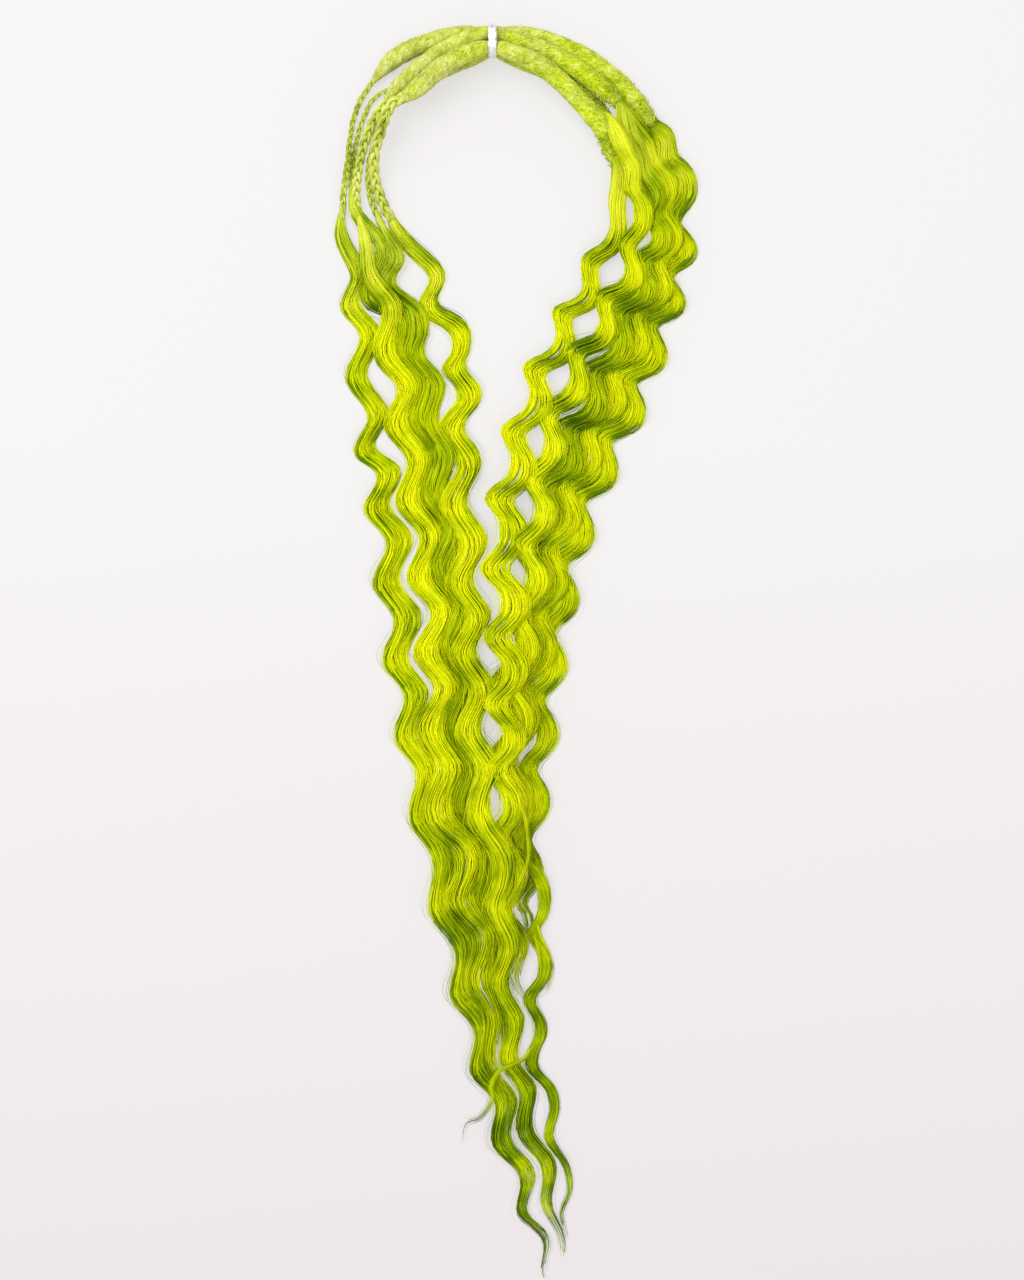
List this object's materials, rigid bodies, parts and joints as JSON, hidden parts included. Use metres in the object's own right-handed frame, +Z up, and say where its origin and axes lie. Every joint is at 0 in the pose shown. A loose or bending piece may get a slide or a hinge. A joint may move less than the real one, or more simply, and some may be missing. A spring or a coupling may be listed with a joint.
{
  "type": "wavy hair extension",
  "caption": "Folded bundle of felted synthetic dreads under a foil tie band, plaited on one side and opening into long crimped wavy locks, lying flat.",
  "frame": {"origin": "middle of the underside of the laid piece, on the surface it rests on", "axes": "+Y along the drape from the tips to the fold, +X across it to the side with the knotted ends, +Z up from the surface"},
  "size_m": [0.172, 0.6004, 0.02],
  "materials": {
    "felted_dread": "matt, mottled, felted",
    "plaited_hair": "soft sheen, plaited",
    "wavy_hair_bright": "silky fibre sheen",
    "wavy_hair": "silky fibre sheen",
    "wavy_hair_deep": "silky fibre sheen",
    "tie_foil": "bright crumpled foil"
  },
  "bodies": {
    "root": {"dread_outer": "felted_dread", "dread_under": "felted_dread", "dread_middle": "felted_dread", "dread_inner": "felted_dread", "plait_outer": "plaited_hair", "plait_under": "plaited_hair", "plait_middle": "plaited_hair", "plait_second": "plaited_hair", "plait_inner": "plaited_hair", "left_outer_lock": "wavy_hair", "left_inner_lock": "wavy_hair_bright", "left_middle_lock": "wavy_hair_bright", "left_under_lock": "wavy_hair_deep", "left_second_lock": "wavy_hair_deep", "right_outer_lock": "wavy_hair", "right_middle_lock": "wavy_hair", "right_third_lock": "wavy_hair_deep", "right_second_lock": "wavy_hair_bright", "right_inner_lock": "wavy_hair_bright", "tie_band": "tie_foil"}
  },
  "joints": []
}
